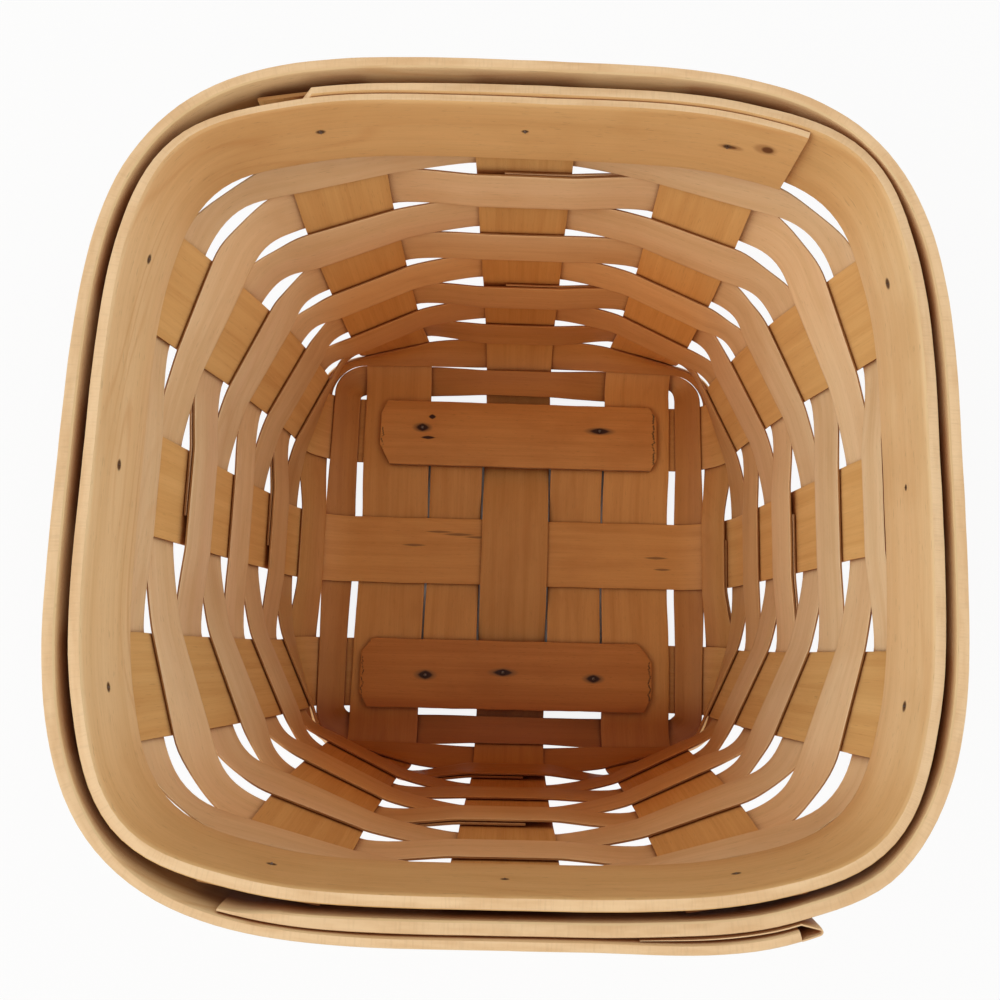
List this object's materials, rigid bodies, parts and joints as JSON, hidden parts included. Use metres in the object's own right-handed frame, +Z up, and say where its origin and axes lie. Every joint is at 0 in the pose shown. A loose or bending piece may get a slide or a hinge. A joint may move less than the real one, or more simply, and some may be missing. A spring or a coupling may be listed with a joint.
{
  "type": "berry basket",
  "caption": "Square flared berry basket woven from flat wood splints, with slats nailed across the plaited base and a double lapped rim band fixed by tacks.",
  "frame": {"origin": "on the surface that the basket stands on, below the middle of the rim's outline", "axes": "+Z up out of the open top; +Y towards the side where the inner rim band overlaps itself, away from the side where the outer band's end stands off; +X to the right of that"},
  "size_m": [0.192, 0.1922, 0.114],
  "materials": {
    "upright_wood": "bare wood, stained yellow-brown",
    "weaver_wood": "bare wood, stained warm tan",
    "band_wood": "bare wood, light tan, satin",
    "slat_wood": "bare wood, stained orange-brown",
    "nail_steel": "dull dark steel"
  },
  "bodies": {
    "root": {"upright_ns_west": "upright_wood", "upright_ns_middle": "upright_wood", "upright_ns_east": "upright_wood", "upright_ew_north": "upright_wood", "upright_ew_middle": "upright_wood", "upright_ew_south": "upright_wood", "base_filler_west": "upright_wood", "base_filler_east": "upright_wood", "slat_north": "slat_wood", "slat_south": "slat_wood", "weaver_row_01": "weaver_wood", "weaver_row_02": "weaver_wood", "weaver_row_03": "weaver_wood", "weaver_row_04": "weaver_wood", "weaver_row_05": "weaver_wood", "weaver_row_06": "weaver_wood", "weaver_row_07": "weaver_wood", "weaver_row_08": "weaver_wood", "weaver_row_09": "weaver_wood", "weaver_row_10": "weaver_wood", "rim_band_inner": "band_wood", "rim_band_outer": "band_wood", "rim_tack_north_first": "nail_steel", "rim_tack_north_middle": "nail_steel", "rim_tack_north_last": "nail_steel", "rim_tack_east_first": "nail_steel", "rim_tack_east_middle": "nail_steel", "rim_tack_east_last": "nail_steel", "rim_tack_south_first": "nail_steel", "rim_tack_south_middle": "nail_steel", "rim_tack_south_last": "nail_steel", "rim_tack_west_first": "nail_steel", "rim_tack_west_middle": "nail_steel", "rim_tack_west_last": "nail_steel", "slat_nail_north_west": "nail_steel", "slat_nail_north_east": "nail_steel", "slat_nail_south_west": "nail_steel", "slat_nail_south_middle": "nail_steel", "slat_nail_south_east": "nail_steel"}
  },
  "joints": []
}
